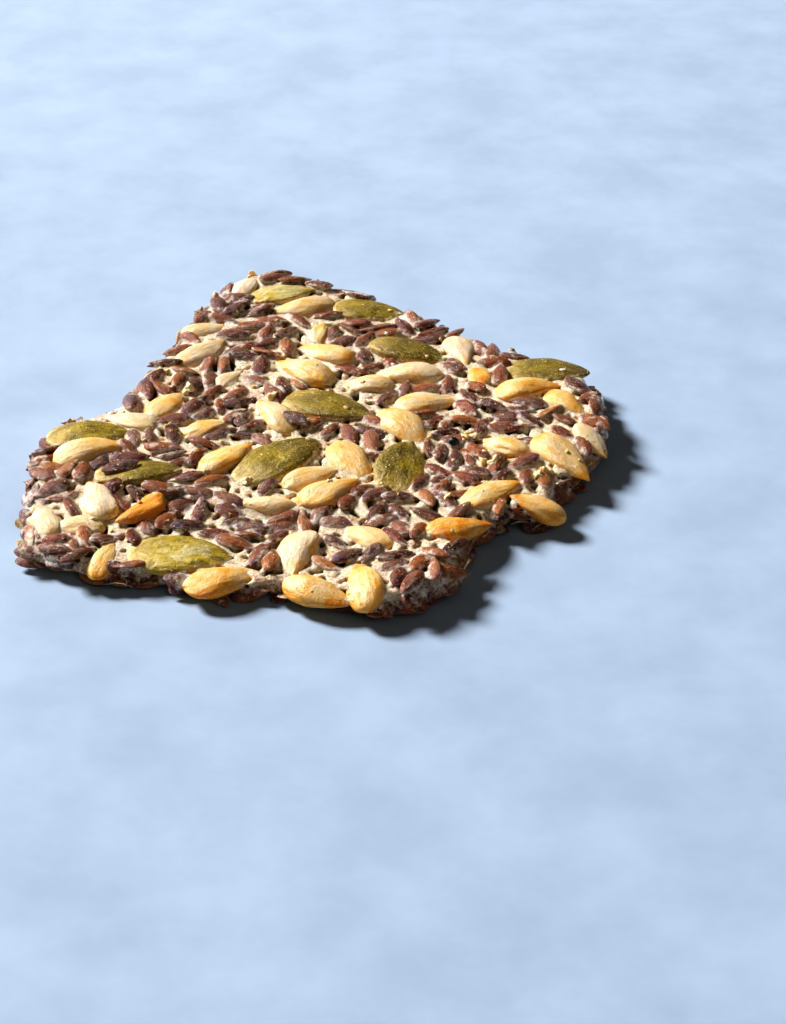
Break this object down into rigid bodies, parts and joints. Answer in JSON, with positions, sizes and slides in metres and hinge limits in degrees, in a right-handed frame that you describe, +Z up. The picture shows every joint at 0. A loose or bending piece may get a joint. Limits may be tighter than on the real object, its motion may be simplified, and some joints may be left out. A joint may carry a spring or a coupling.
{
  "type": "seed cracker",
  "caption": "Thin, ragged piece of baked seed cracker, with pumpkin, sunflower and flax seeds standing out of a pale binder.",
  "frame": {"origin": "under the middle of the cracker's box, on the surface that it rests on", "axes": "+Z up through the thickness, +Y away from the viewer along the cracker's longest side, +X to the viewer's right"},
  "size_m": [0.083, 0.0928, 0.0058],
  "materials": {
    "binder": "baked starchy binder, greyish beige and a little translucent",
    "flax": "smooth and glossy, reddish to purplish brown",
    "sunflower": "satin, cream with toasted golden tips",
    "pumpkin": "satin olive green under a dusty skin"
  },
  "bodies": {
    "root": {"seed_cracker": "binder"}
  },
  "joints": []
}
